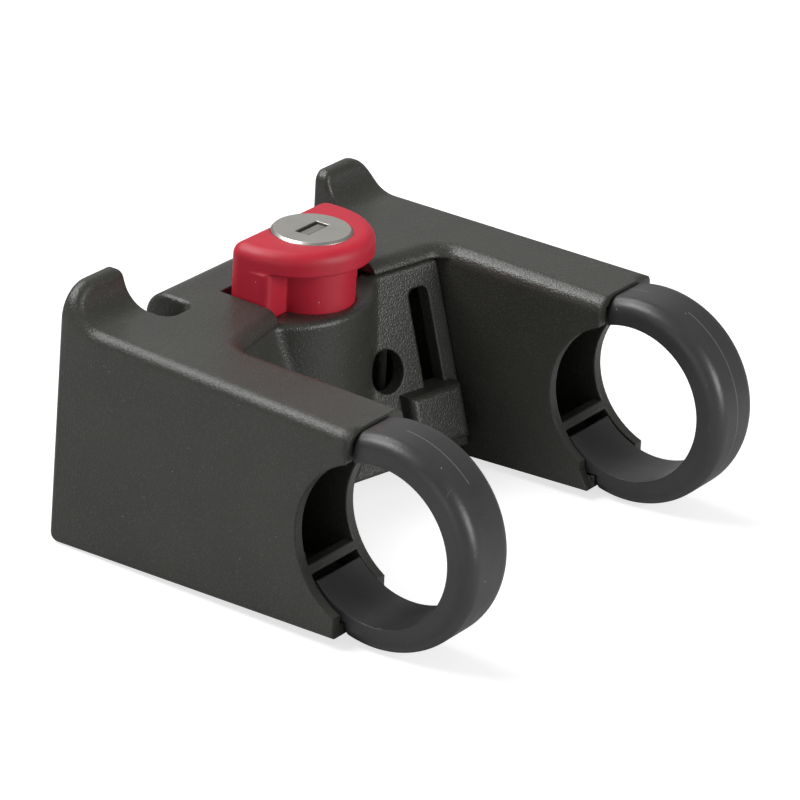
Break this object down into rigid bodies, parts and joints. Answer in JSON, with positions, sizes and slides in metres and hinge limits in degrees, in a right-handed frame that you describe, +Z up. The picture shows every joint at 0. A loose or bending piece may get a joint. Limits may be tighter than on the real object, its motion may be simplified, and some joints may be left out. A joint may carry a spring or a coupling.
{
  "type": "bicycle handlebar bag mount",
  "caption": "Black moulded bracket that straps round a bicycle handlebar and carries a quick-release bag on upright hooks, let go by a red push button with a key lock.",
  "frame": {"origin": "on the handlebar's axis, midway between the two clamp rings", "axes": "+X along the handlebar to the rider's right, +Y forward to the bag, +Z up"},
  "size_m": [0.105, 0.0956, 0.0547],
  "materials": {
    "moulding": "fine matt grain, glass-filled",
    "strap": "smooth satin",
    "button": "matt red",
    "latch": "satin",
    "nickel": "satin nickel plate",
    "steel": "zinc plated",
    "brass": "machined"
  },
  "bodies": {
    "bracket": {"body": "moulding", "button_housing": "moulding", "housing_screws": "steel", "clamp_screws_left": "steel", "clamp_screws_right": "steel", "clamp_washers_left": "steel", "clamp_washers_right": "steel", "button_springs": "steel", "latch_spring": "steel"},
    "button": {"push_button": "button", "lock_case": "brass"},
    "lock": {"lock_plug": "nickel", "lock_shutter": "nickel", "lock_wafers": "brass", "plug_clip": "steel", "lock_cam": "steel", "cam_screw": "steel"},
    "latch": {"latch_bolt": "latch"},
    "clamp_left": {"clamp_ring_left": "strap", "clamp_inserts_left": "brass"},
    "clamp_right": {"clamp_ring_right": "strap", "clamp_inserts_right": "brass"}
  },
  "joints": [
    {"name": "button_press", "type": "slide", "parent": "bracket", "child": "button", "axis": [0, 0, -1], "range_m": [0, 0.006], "stiffness_N_per_m": 600, "springref_m": -0.008, "deforming": ["button_springs"]},
    {"name": "lock_turn", "type": "hinge", "parent": "button", "child": "lock", "pos_m": [0, 0.0508, 0.033], "axis": [0, 0, 1], "range_deg": [0, 90]},
    {"name": "latch_slide", "type": "slide", "parent": "bracket", "child": "latch", "axis": [0, -1, 0], "range_m": [0, 0.006], "stiffness_N_per_m": 200, "springref_m": -0.004, "deforming": ["latch_spring"]},
    {"name": "clamp_left_slide", "type": "slide", "parent": "bracket", "child": "clamp_left", "axis": [0, -1, 0], "range_m": [0, 0.006]},
    {"name": "clamp_right_slide", "type": "slide", "parent": "bracket", "child": "clamp_right", "axis": [0, -1, 0], "range_m": [0, 0.006]}
  ],
  "couplings": [
    {"joint": "latch_slide", "follows": "button_press", "ratio": 1}
  ]
}
